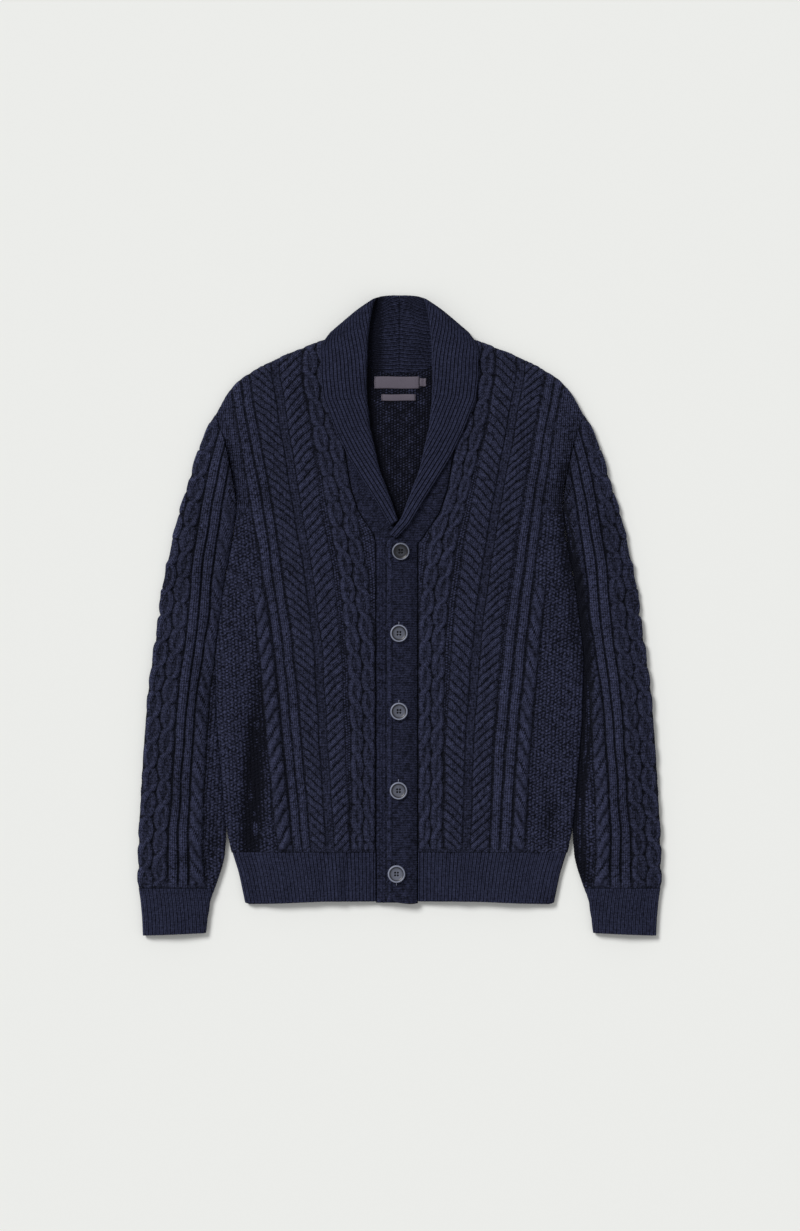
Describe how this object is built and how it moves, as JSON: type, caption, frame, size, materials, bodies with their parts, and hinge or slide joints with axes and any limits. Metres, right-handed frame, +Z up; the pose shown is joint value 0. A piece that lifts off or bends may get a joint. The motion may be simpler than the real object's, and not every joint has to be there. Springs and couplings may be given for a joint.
{
  "type": "shawl collar cardigan",
  "caption": "Buttoned shawl collar cardigan in dark heavy cable knit with ribbed hem and cuffs, lying flat on its back.",
  "frame": {"origin": "on the ground under the middle of the garment's box, as it lies on its back", "axes": "+X to the wearer's left, +Y from the hem to the collar, +Z up, away from the ground"},
  "size_m": [0.651, 0.801, 0.0205],
  "materials": {
    "cable_knit": "matte heavy cable knit wool",
    "rib_knit": "matte ribbed wool knit",
    "button": "satin, slightly mottled",
    "label": "woven tape"
  },
  "bodies": {
    "root": {"back_panel": "cable_knit", "back_hem_rib": "rib_knit", "front_right": "cable_knit", "front_left": "cable_knit", "hem_rib_right": "rib_knit", "hem_rib_left": "rib_knit", "band_button": "rib_knit", "band_buttonhole": "rib_knit", "collar_right": "rib_knit", "collar_left": "rib_knit", "sleeve_right": "cable_knit", "cuff_right": "rib_knit", "sleeve_left": "cable_knit", "cuff_left": "rib_knit", "button_1": "button", "button_2": "button", "button_3": "button", "button_4": "button", "button_5": "button", "label_main": "label", "label_size": "label", "label_care": "label"}
  },
  "joints": []
}
